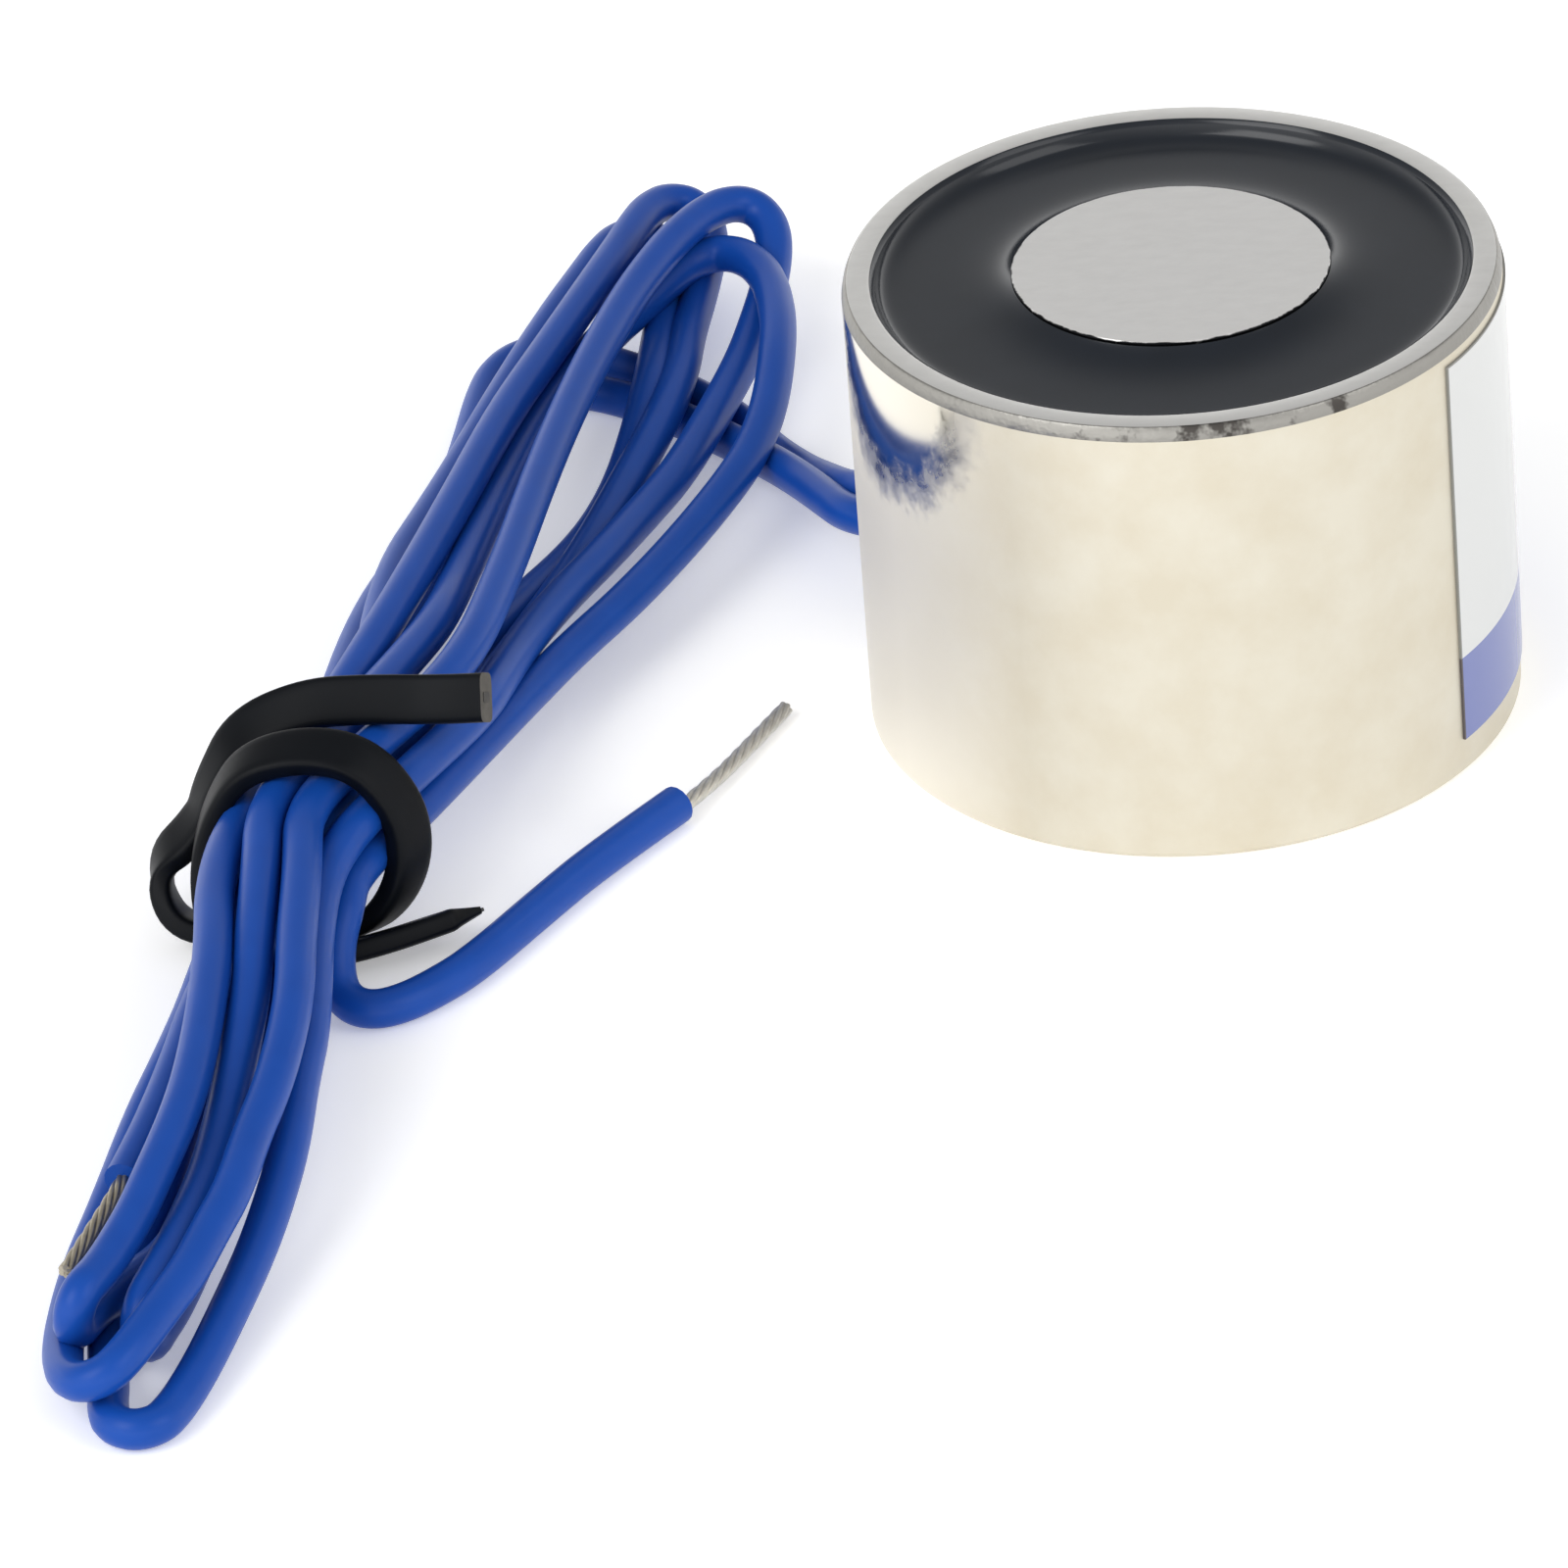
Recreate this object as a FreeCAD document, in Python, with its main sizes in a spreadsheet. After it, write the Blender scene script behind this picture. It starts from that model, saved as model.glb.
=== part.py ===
import FreeCAD, Part
import math
import os
import Sketcher
from FreeCAD import Placement, Rotation, Vector

# Small round holding electromagnet with two leads folded into a tied hank.
# Millimetres and degrees, +Z up. The origin is the middle of the cup's base, which stands on z = 0.

SIZES = {
    # Cup and core
    "cup_diameter": 20.0,
    "cup_height": 15.0,
    "cup_wall": 1.0,
    "base_thickness": 2.0,
    "rim_chamfer": 0.25,
    "rim_bevel": 0.15,
    "foot_chamfer": 0.3,
    "core_share": 0.485,
    "core_chamfer": 0.1,
    "spigot_diameter": 6.0,
    "thread_diameter": 3.0,
    "thread_depth": 6.0,
    "drill_point": 0.9,
    "mouth_chamfer": 0.3,
    # Coil
    "bobbin_clearance": 0.1,
    "bobbin_tube_wall": 0.4,
    "bobbin_flange": 0.8,
    "flange_clearance": 0.4,
    "tape_thickness": 0.1,
    "coil_wire_diameter": 0.25,
    "coil_wire_bend": 0.6,
    # Resin
    "resin_depth": 1.8,
    "resin_edge_drop": 0.12,
    "resin_dish": 0.5,
    "resin_climb": 0.9,
    # Leads
    "lead_diameter": 1.2,
    "lead_gap": 0.1,
    "lead_side_clearance": 0.2,
    "lead_bend_radius": 1.2,
    "lead_end_angle": 30.0,
    "lead_reach": 1.3,
    "exit_angle": 145.0,
    "conductor_diameter": 0.5,
    "splice_diameter": 0.8,
    "splice_sweep": 20.0,
    "sleeve_sweep": 30.0,
    # Grommet
    "grommet_web": 0.15,
    "grommet_lip": 0.6,
    "lip_thickness": 0.5,
    # Label
    "label_thickness": 0.08,
    "label_start": -39.0,
    "label_sweep": 140.0,
    "label_bottom": 1.25,
    "label_top_gap": 0.75,
    # Hank and tie
    "bundle_diameter": 5.3,
    "tie_clearance": 0.05,
    "tie_width": 1.4,
    "tie_thickness": 0.65,
    "tie_corner": 0.2,
    "tie_wire_diameter": 0.35,
    "tie_pitch": 4.0,
    "tie_turns": 1.5,
    "tie_upper_end": 4.6,
    "tie_lower_end": 3.2,
}

# Sizes that follow from the ones above
FITS = {
    "cup_radius": "cup_diameter / 2",
    "inner_radius": "cup_radius - cup_wall",
    "core_radius": "cup_radius * core_share",
    "spigot_radius": "spigot_diameter / 2",
    "thread_radius": "thread_diameter / 2",
    "bore_radius": "core_radius + bobbin_clearance",
    "tube_radius": "bore_radius + bobbin_tube_wall",
    "flange_radius": "inner_radius - flange_clearance",
    "tape_radius": "inner_radius - lead_diameter - 2 * lead_side_clearance",
    "winding_radius": "tape_radius - tape_thickness",
    "winding_bottom": "base_thickness + bobbin_flange",
    "bobbin_top": "cup_height - resin_depth",
    "winding_top": "bobbin_top - bobbin_flange",
    "resin_edge": "cup_height - resin_edge_drop",
    "resin_floor": "resin_edge - resin_dish",
    "lead_radius": "lead_diameter / 2",
    "lead_ring": "inner_radius - lead_side_clearance - lead_radius",
    "lead_height": "winding_bottom + lead_side_clearance + lead_radius",
    "lead_offset": "lead_radius + lead_gap / 2",
    "lead_start": "cup_radius + lip_thickness + lead_reach",
    "hole_radius": "lead_diameter + lead_gap / 2 + grommet_web",
    "lip_radius": "hole_radius + grommet_lip",
    "label_radius": "cup_radius + label_thickness",
    "label_height": "cup_height - label_bottom - label_top_gap",
    "bundle_radius": "bundle_diameter / 2",
    "tie_inner_radius": "bundle_radius + tie_clearance",
    "tie_radius": "tie_inner_radius + tie_thickness / 2",
    "bundle_height": "tie_inner_radius + tie_thickness",
}

# Routes of the leads, chosen by hand: from in front of the cup into the hank
LEAD_A_ROUTE = [(-11.35, 9.05, 2.7), (-12.5, 13.2, 1.5), (-14.4, 17.0, 0.85)]
LEAD_B_ROUTE = [(-9.65, 9.75, 2.45), (-11.15, 13.5, 0.75), (-13.1, 18.1, 0.7)]

# The free end of lead A, from inside the hank to the end of its insulation
TAIL_ROUTE = [
    (-26.45, -11.95, 2.30),
    (-26.9, -13.8, 1.90),
    (-26.7, -15.6, 1.10),
    (-25.4, -16.1, 0.65),
    (-23.9, -15.2, 0.65),
    (-22.1, -13.0, 0.65),
    (-20.2, -10.4, 0.65),
    (-18.1, -7.85, 0.65),
    (-16.0, -5.55, 0.65),
]

# The two stripped ends: A goes on from the tail, B lies on the hank's near half
TIP_A_END = (-12.65, 0.2, 0.32)
TIP_B_ENDS = [(-32.6, -25.9, 4.2), (-34.6, -31.4, 3.1)]

# The hank's waist, and its sections either side: x and y of the middle, half width, half height, height
WAIST_MIDDLE = Vector(-27.1, -10.8, 0)
WAIST_AXIS = Vector(0.42, 0.9075, 0)
WAIST_STATIONS = (-3.2, 1.0, 5.2)
NEAR_SECTIONS = [
    (-32.9, -37.7, 1.4, 0.9, 1.1),
    (-32.8, -35.0, 2.5, 1.6, 1.8),
    (-31.5, -28.5, 3.4, 2.2, 2.4),
    (-29.5, -20.0, 3.0, 2.55, 2.75),
]
FAR_SECTIONS = [
    (-22.2, 2.0, 4.0, 2.5, 2.8),
    (-18.9, 11.0, 5.6, 2.3, 2.5),
    (-16.7, 20.0, 5.3, 2.1, 2.35),
    (-14.9, 26.0, 3.6, 1.75, 2.55),
    (-14.7, 28.9, 1.9, 1.2, 2.3),
]

# An arc of a cord takes up this share of the shorter run beside it
ARC_SHARE = 0.45
UP = Vector(0, 0, 1)

doc = FreeCAD.newDocument("Electromagnet")


def add_sheet(name, cells):
    """A sheet with one aliased cell for each size."""
    sheet = doc.addObject("Spreadsheet::Sheet", name)
    for row, (alias, text) in enumerate(cells.items(), start=1):
        sheet.set(f"A{row}", alias)
        sheet.set(f"B{row}", text)
        sheet.setAlias(f"B{row}", alias)
    doc.recompute()
    return sheet


def in_sheets(text):
    """A formula of words parted by spaces, with each size read from its sheet."""
    words = []
    for word in text.split():
        if word in SIZES:
            word = "Sizes." + word
        elif word in FITS:
            word = "Fits." + word
        words.append(word)
    return " ".join(words)


sizes_sheet = add_sheet("Sizes", {alias: str(number) for alias, number in SIZES.items()})
fits_sheet = add_sheet("Fits", {alias: "=" + in_sheets(text) for alias, text in FITS.items()})


def size(alias):
    """A size as the sheets hold it now."""
    sheet = sizes_sheet if alias in SIZES else fits_sheet
    return float(sheet.get(alias))


def total(text):
    """The value of a sum or difference of sizes, such as "cup_radius - foot_chamfer"."""
    value = 0.0
    sign = 1
    for word in text.split():
        if word in "+-":
            sign = 1 if word == "+" else -1
        else:
            value += sign * size(word)
    return value


def bind(thing, **formulas):
    """Bind properties of an object to formulas of the sheets."""
    for name, text in formulas.items():
        thing.setExpression(name, in_sheets(text))
    return thing


def around_exit(x, y, z):
    """A point given in the frame whose X axis points out through the lead hole."""
    return Rotation(UP, size("exit_angle")).multVec(Vector(x, y, z))


# Turned pieces


def origin_plane(body, role):
    return [plane for plane in body.Origin.OriginFeatures if plane.Role == role][0]


def add_sketch(body, name, role):
    sketch = body.newObject("Sketcher::SketchObject", name)
    sketch.AttachmentSupport = [(origin_plane(body, role), "")]
    sketch.MapMode = "FlatFace"
    return sketch


def pin_point(sketch, edge, end, x_text, y_text):
    """Fix one end of an edge at formulas for its distances from the sketch's axes."""
    for kind, axis, text in (("DistanceX", -2, x_text), ("DistanceY", -1, y_text)):
        if text == "0":
            sketch.addConstraint(Sketcher.Constraint("PointOnObject", edge, end, axis))
            continue
        index = sketch.addConstraint(Sketcher.Constraint(kind, -1, 1, edge, end, total(text)))
        sketch.setExpression(f"Constraints[{index}]", in_sheets(text))


def turned(name, outline, dished=False):
    """A body turned about Z from its outline of (radius, height) formulas.

    A dished outline starts with a hollow: its first and third edges are arcs that run into the second.
    """
    body = doc.addObject("PartDesign::Body", name)
    sketch = add_sketch(body, name + "_outline", "XZ_Plane")
    corners = [Vector(total(r) if r != "0" else 0, total(z) if z != "0" else 0, 0) for r, z in outline]
    count = len(corners)
    for i, corner in enumerate(corners):
        after = corners[(i + 1) % count]
        if dished and i in (0, 2):
            rim, low = (corner, after) if i == 0 else (after, corner)
            run, rise = abs(low.x - rim.x), rim.y - low.y
            radius = (run * run + rise * rise) / (2 * rise)
            circle = Part.Circle(low + Vector(0, radius, 0), UP, radius)
            edge_angle = math.atan2(rim.y - circle.Center.y, rim.x - circle.Center.x) % (2 * math.pi)
            bottom = 1.5 * math.pi
            span = (edge_angle, bottom) if i == 0 else (bottom, edge_angle)
            sketch.addGeometry(Part.ArcOfCircle(circle, *span), False)
        else:
            sketch.addGeometry(Part.LineSegment(corner, after), False)
    for i in range(count):
        kind = "Tangent" if dished and i in (0, 1) else "Coincident"
        sketch.addConstraint(Sketcher.Constraint(kind, i, 2, (i + 1) % count, 1))
    for i, (r_text, z_text) in enumerate(outline):
        pin_point(sketch, i, 1, r_text, z_text)
    turn = body.newObject("PartDesign::Revolution", name + "_turned")
    turn.Profile = sketch
    turn.ReferenceAxis = (sketch, ["V_Axis"])
    turn.Angle = 360
    doc.recompute()
    return body


def make_cup():
    """Steel pot: base with the core's seat, thin wall, ground rim and the lead hole low in the wall."""
    cup = turned("cup", [
        ("spigot_radius", "0"),
        ("cup_radius - foot_chamfer", "0"),
        ("cup_radius", "foot_chamfer"),
        ("cup_radius", "cup_height - rim_chamfer"),
        ("cup_radius - rim_chamfer", "cup_height"),
        ("inner_radius + rim_bevel", "cup_height"),
        ("inner_radius", "cup_height - rim_bevel"),
        ("inner_radius", "base_thickness"),
        ("spigot_radius", "base_thickness"),
    ])
    whole = cup.Shape.Volume
    sketch = add_sketch(cup, "lead_hole_outline", "YZ_Plane")
    middle = Vector(0, size("lead_height"), 0)
    sketch.addGeometry(Part.Circle(middle, UP, size("hole_radius")), False)
    sketch.addConstraint(Sketcher.Constraint("PointOnObject", 0, 3, -2))
    height = sketch.addConstraint(Sketcher.Constraint("DistanceY", -1, 1, 0, 3, middle.y))
    radius = sketch.addConstraint(Sketcher.Constraint("Radius", 0, size("hole_radius")))
    sketch.setExpression(f"Constraints[{height}]", in_sheets("lead_height"))
    sketch.setExpression(f"Constraints[{radius}]", in_sheets("hole_radius"))
    hole = cup.newObject("PartDesign::Pocket", "lead_hole")
    hole.Profile = sketch
    hole.Reversed = True
    bind(hole, Length="cup_diameter")
    doc.recompute()
    if not cup.Shape.Volume < whole:
        raise RuntimeError("the lead hole cuts nothing")
    cup.Placement = Placement(Vector(), Rotation(UP, size("exit_angle")))
    return cup


def make_core():
    """Pole piece with a spigot pressed into the base and a blind tapped hole in its foot."""
    return turned("core", [
        ("thread_radius + mouth_chamfer", "0"),
        ("spigot_radius", "0"),
        ("spigot_radius", "base_thickness"),
        ("core_radius", "base_thickness"),
        ("core_radius", "cup_height - core_chamfer"),
        ("core_radius - core_chamfer", "cup_height"),
        ("0", "cup_height"),
        ("0", "thread_depth + drill_point"),
        ("thread_radius", "thread_depth"),
        ("thread_radius", "mouth_chamfer"),
    ])


def make_bobbin():
    """Plastic spool that stands on the base round the core."""
    return turned("bobbin", [
        ("bore_radius", "base_thickness"),
        ("flange_radius", "base_thickness"),
        ("flange_radius", "winding_bottom"),
        ("tube_radius", "winding_bottom"),
        ("tube_radius", "winding_top"),
        ("flange_radius", "winding_top"),
        ("flange_radius", "bobbin_top"),
        ("bore_radius", "bobbin_top"),
    ])


def turned_ring(name, inner, outer):
    """A plain ring as tall as the winding."""
    return turned(name, [
        (inner, "winding_bottom"),
        (outer, "winding_bottom"),
        (outer, "winding_top"),
        (inner, "winding_top"),
    ])


def make_resin_blank():
    """The space that the resin fills: a dished top, the wall gap and the room round the winding."""
    return turned("resin_blank", [
        ("core_radius", "resin_edge"),
        ("core_radius + resin_climb", "resin_floor"),
        ("inner_radius - resin_climb", "resin_floor"),
        ("inner_radius", "resin_edge"),
        ("inner_radius", "base_thickness"),
        ("flange_radius", "base_thickness"),
        ("flange_radius", "winding_bottom"),
        ("tape_radius", "winding_bottom"),
        ("tape_radius", "winding_top"),
        ("flange_radius", "winding_top"),
        ("flange_radius", "bobbin_top"),
        ("core_radius", "bobbin_top"),
    ], dished=True)


# Booleans and swept pieces


def add_cut(label, base, tool):
    """What is left of the base outside the tool."""
    cut = doc.addObject("Part::Cut", label)
    cut.Base = base
    cut.Tool = tool
    doc.recompute()
    return cut


def add_fuse(label, things):
    fuse = doc.addObject("Part::MultiFuse", label)
    fuse.Shapes = things
    doc.recompute()
    return fuse


def add_solid(label, shape):
    solid = doc.addObject("Part::Feature", label)
    solid.Shape = shape
    return solid


def rounded_runs(label, points, diameter):
    """Straight runs through the points, joined by tangent arcs as large as the runs allow."""
    edges = []
    start = points[0]
    radii = []
    for before, corner, after in zip(points, points[1:], points[2:]):
        back = before - corner
        ahead = after - corner
        half_turn = (math.pi - back.getAngle(ahead)) / 2
        setback = ARC_SHARE * min(back.Length, ahead.Length)
        radius = setback / math.tan(half_turn)
        back.normalize()
        ahead.normalize()
        inward = (back + ahead).normalize()
        middle = corner + inward * (radius / math.cos(half_turn) - radius)
        arc_start = corner + back * setback
        arc_end = corner + ahead * setback
        edges.append(Part.LineSegment(start, arc_start).toShape())
        edges.append(Part.Arc(arc_start, middle, arc_end).toShape())
        start = arc_end
        radii.append(round(radius / diameter, 1))
    edges.append(Part.LineSegment(start, points[-1]).toShape())
    print(label, "bend radii in diameters:", radii)
    return edges


def swept_round(label, edges, diameter):
    """A round bar along the edges, checked against its section times its length."""
    path = Part.Wire(edges)
    first = edges[0]
    tangent = first.tangentAt(first.FirstParameter)
    section = Part.Face(Part.Wire(Part.makeCircle(diameter / 2, first.valueAt(first.FirstParameter), tangent)))
    bar = path.makePipe(section)
    expected = path.Length * section.Area
    if abs(bar.Volume - expected) > 0.01 * expected:
        raise RuntimeError(f"{label}: volume {bar.Volume:.3f}, section times length {expected:.3f}")
    return add_solid(label, bar)


def ring_point(radius, degrees, side):
    """A point at the leads' height, by its angle from the lead hole, towards one side of it."""
    angle = math.radians(degrees)
    return around_exit(radius * math.cos(angle), side * radius * math.sin(angle), size("lead_height"))


def ring_arc(radius, first, last, side):
    points = [ring_point(radius, angle, side) for angle in (first, (first + last) / 2, last)]
    return Part.Arc(*points).toShape()


def make_lead(label, side, route):
    """A lead from its splice, along the inside of the wall, out through the hole and into the hank."""
    ring, bend, offset = size("lead_ring"), size("lead_bend_radius"), size("lead_offset")
    out = math.sqrt((ring + bend) ** 2 - (offset + bend) ** 2)
    join = math.degrees(math.atan2(offset + bend, out))
    height = size("lead_height")
    middle_angle = math.radians((270 + 180 + join) / 2)
    bend_middle = around_exit(
        out + bend * math.cos(middle_angle), side * (offset + bend + bend * math.sin(middle_angle)), height)
    bend_end = around_exit(out, side * offset, height)
    turn_out = Part.Arc(ring_point(ring, join, side), bend_middle, bend_end).toShape()
    corners = [bend_end, around_exit(size("lead_start"), side * offset, height)]
    corners += [Vector(*point) for point in route]
    edges = [ring_arc(ring, size("lead_end_angle"), join, side), turn_out]
    edges += rounded_runs(label, corners, size("lead_diameter"))
    return swept_round(label, edges, size("lead_diameter"))


def make_coil_tail(label, side):
    """An end of the winding's wire, from the splice along the wall and in to the winding."""
    ring, bend = size("lead_ring"), size("coil_wire_bend")
    start = size("lead_end_angle") + size("splice_sweep")
    join = size("lead_end_angle") + size("sleeve_sweep") + math.degrees(bend / ring)
    out = math.sqrt((ring - bend) ** 2 - bend ** 2)
    lean = math.degrees(math.atan2(bend, out))
    radial = join + lean
    centre_angle = math.radians(join)
    turn_angle = math.radians((join + radial + 90) / 2)
    bend_middle = around_exit(
        (ring - bend) * math.cos(centre_angle) + bend * math.cos(turn_angle),
        side * ((ring - bend) * math.sin(centre_angle) + bend * math.sin(turn_angle)),
        size("lead_height"))
    bend_end = ring_point(out, radial, side)
    inner_end = ring_point(size("winding_radius") - size("coil_wire_diameter"), radial, side)
    edges = [
        ring_arc(ring, start, join, side),
        Part.Arc(ring_point(ring, join, side), bend_middle, bend_end).toShape(),
        Part.LineSegment(bend_end, inner_end).toShape(),
    ]
    return swept_round(label, edges, size("coil_wire_diameter"))


def ring_segment(label, side, radius, sweep):
    """A length of round section along the leads' ring, from the lead's end away from the hole."""
    segment = doc.addObject("Part::Torus", label)
    bind(segment, Radius1="lead_ring", Radius2=radius, Angle3=sweep)
    first = size("lead_end_angle") if side > 0 else -size("lead_end_angle") - size(sweep)
    segment.Placement = Placement(Vector(0, 0, size("lead_height")), Rotation(UP, size("exit_angle") + first))
    doc.recompute()
    return segment


def make_grommet(leads):
    """Bush pressed into the lead hole, with a lip that seats on the curved wall."""
    outward = Rotation(UP, around_exit(1, 0, 0))
    stem = doc.addObject("Part::Cylinder", "grommet_stem")
    bind(stem, Radius="hole_radius", Height="cup_wall + lip_thickness")
    stem.Placement = Placement(around_exit(size("inner_radius"), 0, size("lead_height")), outward)
    lip = doc.addObject("Part::Cylinder", "grommet_lip_blank")
    bind(lip, Radius="lip_radius", Height="cup_wall + lip_thickness")
    lip.Placement = stem.Placement
    wall = doc.addObject("Part::Cylinder", "grommet_seat")
    bind(wall, Radius="cup_radius", Height="cup_height")
    doc.recompute()
    seated_lip = add_cut("grommet_lip_seated", lip, wall)
    blank = add_fuse("grommet_blank", [stem, seated_lip])
    return add_cut("lead_grommet", blank, leads)


def make_label():
    """Thin sheet wrapped round the right side of the cup."""
    layers = []
    for name, radius in (("label_outside", "label_radius"), ("label_inside", "cup_radius")):
        layer = doc.addObject("Part::Cylinder", name)
        bind(layer, Radius=radius, Height="label_height", Angle="label_sweep")
        layer.Placement = Placement(Vector(0, 0, size("label_bottom")), Rotation(UP, size("label_start")))
        layers.append(layer)
    doc.recompute()
    return add_cut("rating_label", *layers)


def make_rod(label, start, end):
    """A stripped end of lead: a straight round rod."""
    rod = doc.addObject("Part::Cylinder", label)
    bind(rod, Radius="conductor_diameter / 2")
    rod.Height = (end - start).Length
    rod.Placement = Placement(start, Rotation(UP, end - start))
    doc.recompute()
    return rod


def tie_path():
    """One and a half turns round the waist, with a straight free end at each end."""
    radius, pitch, turns = size("tie_radius"), size("tie_pitch"), size("tie_turns")
    helix = Part.makeHelix(pitch, pitch * turns, radius)
    around = 2 * math.pi * radius
    end_angle = 2 * math.pi * turns
    first_way = Vector(0, around, pitch).normalize()
    last_way = Vector(-around * math.sin(end_angle), around * math.cos(end_angle), pitch).normalize()
    first = Vector(radius, 0, 0)
    last = Vector(radius * math.cos(end_angle), radius * math.sin(end_angle), pitch * turns)
    upper_end = Part.LineSegment(first - first_way * size("tie_upper_end"), first).toShape()
    lower_end = Part.LineSegment(last, last + last_way * size("tie_lower_end")).toShape()
    return Part.Wire([upper_end] + helix.Edges + [lower_end])


def tie_sweep(path, section):
    """A section swept along the tie with its width kept along the hank."""
    sweep = Part.BRepOffsetAPI.MakePipeShell(path)
    sweep.setBiNormalMode(UP)
    sweep.add(section)
    sweep.build()
    sweep.makeSolid()
    return sweep.shape()


def tie_place():
    """The tie winds from the top of the waist's far side towards its near side."""
    towards_near = -WAIST_AXIS
    start = WAIST_MIDDLE + WAIST_AXIS * size("tie_pitch")
    middle = Vector(start.x, start.y, size("bundle_height"))
    return Placement(middle, Rotation(UP, towards_near.cross(UP), towards_near, "ZXY"))


def make_tie():
    """Flat plastic strip with a wire through it: the strip before its bore, the sheath and the wire."""
    path = tie_path()
    start = path.Edges[0].Vertexes[0].Point
    half_thick, half_wide = size("tie_thickness") / 2, size("tie_width") / 2
    corners = [(-1, -1), (1, -1), (1, 1), (-1, 1), (-1, -1)]
    outline = Part.makePolygon([start + Vector(x * half_thick, 0, z * half_wide) for x, z in corners])
    section = Part.Face(outline).makeOffset2D(-size("tie_corner")).makeOffset2D(size("tie_corner")).OuterWire
    bore = Part.Wire(Part.makeCircle(size("tie_wire_diameter") / 2, start, Vector(0, 1, 0)))
    strip = add_solid("tie_strip", tie_sweep(path, section))
    wire = add_solid("twist_tie_wire", tie_sweep(path, bore))
    strip.Placement = tie_place()
    wire.Placement = tie_place()
    doc.recompute()
    return strip, add_cut("twist_tie_sheath", strip, wire), wire


def make_hank_blank():
    """Outer shape of the folded leads: a loft that is round at the waist and fans out both ways."""
    middles = [Vector(x, y, z) for x, y, _, _, z in NEAR_SECTIONS]
    waist_height = Vector(0, 0, size("bundle_height"))
    waist = [WAIST_MIDDLE + WAIST_AXIS * station + waist_height for station in WAIST_STATIONS]
    middles += waist + [Vector(x, y, z) for x, y, _, _, z in FAR_SECTIONS]
    half_sizes = [row[2:4] for row in NEAR_SECTIONS] + [None] * len(waist) + [row[2:4] for row in FAR_SECTIONS]
    sections = []
    for i, (middle, halves) in enumerate(zip(middles, half_sizes)):
        along = middles[min(i + 1, len(middles) - 1)] - middles[max(i - 1, 0)]
        along = Vector(along.x, along.y, 0) if halves else WAIST_AXIS
        section = doc.addObject("Part::Ellipse", "hank_section")
        if halves:
            section.MajorRadius, section.MinorRadius = halves
        else:
            bind(section, MajorRadius="bundle_radius", MinorRadius="bundle_radius")
        section.Placement = Placement(middle, Rotation(along.cross(UP), UP, along, "ZXY"))
        sections.append(section)
    loft = doc.addObject("Part::Loft", "hank_blank")
    loft.Sections = sections
    loft.Solid = True
    doc.recompute()
    return loft


# Assembly

cup = make_cup()
core = make_core()
bobbin = make_bobbin()
tie_strip, tie_sheath, tie_wire = make_tie()
tip_b = make_rod("lead_b_tip", *[Vector(*point) for point in TIP_B_ENDS])
hank = add_cut("lead_hank", add_cut("hank_clear_of_tie", make_hank_blank(), tie_strip), tip_b)

lead_a = make_lead("lead_a", 1, LEAD_A_ROUTE)
lead_b = make_lead("lead_b", -1, LEAD_B_ROUTE)
leads = add_fuse("leads", [lead_a, lead_b])
run_a = add_cut("lead_a_run", lead_a, hank)
run_b = add_cut("lead_b_run", lead_b, hank)

tail_points = [Vector(*point) for point in TAIL_ROUTE]
tail_bar = swept_round(
    "tail_bar", rounded_runs("lead_a_tail", tail_points, size("lead_diameter")), size("lead_diameter"))
tail = add_cut("lead_a_tail", tail_bar, hank)
tip_a = add_cut("lead_a_tip", make_rod("tip_a_rod", tail_points[-1], Vector(*TIP_A_END)), tail_bar)

coil_tails = [make_coil_tail("coil_tail_a", 1), make_coil_tail("coil_tail_b", -1)]
winding = add_fuse("coil_winding", [turned_ring("winding_ring", "tube_radius", "winding_radius")] + coil_tails)
tape = add_cut("coil_tape", turned_ring("tape_ring", "winding_radius", "tape_radius"), winding)

splices = []
sleeves = []
for letter, side in (("a", 1), ("b", -1)):
    splice = ring_segment("splice_" + letter, side, "splice_diameter / 2", "splice_sweep")
    tube = ring_segment("sleeve_blank_" + letter, side, "lead_radius", "sleeve_sweep")
    splices.append(splice)
    sleeves.append(add_cut("splice_sleeve_" + letter, tube, add_fuse("sleeve_bore_" + letter, [splice, winding])))

buried = add_fuse("buried_wires", [leads, winding] + sleeves + splices)
resin = add_cut("potting_resin", make_resin_blank(), buried)
grommet = make_grommet(leads)
label = make_label()

nodes = [cup, core, bobbin, winding, tape, resin, grommet, label, run_a, run_b, hank, tail, tip_a, tip_b]
nodes += splices + sleeves + [tie_sheath, tie_wire]

for thing in doc.Objects:
    if "Invalid" in thing.State or "Error" in thing.State:
        raise RuntimeError(f"{thing.Label} failed: {thing.State}")
for node in nodes:
    if node.Shape.isNull() or not node.Shape.isValid() or len(node.Shape.Solids) != 1:
        raise RuntimeError(f"{node.Label} is not one valid solid")

os.makedirs("parts", exist_ok=True)
for node in nodes:
    node.Shape.exportStep(f"parts/{node.Label}.step")
    box = node.Shape.BoundBox
    print(f"{node.Label}: volume {node.Shape.Volume:.2f}, z {box.ZMin:.3f} to {box.ZMax:.3f}")
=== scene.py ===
"""Small round holding magnet: plated cup, pole face in black resin, and two blue leads in a tied hank."""

import math

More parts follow.
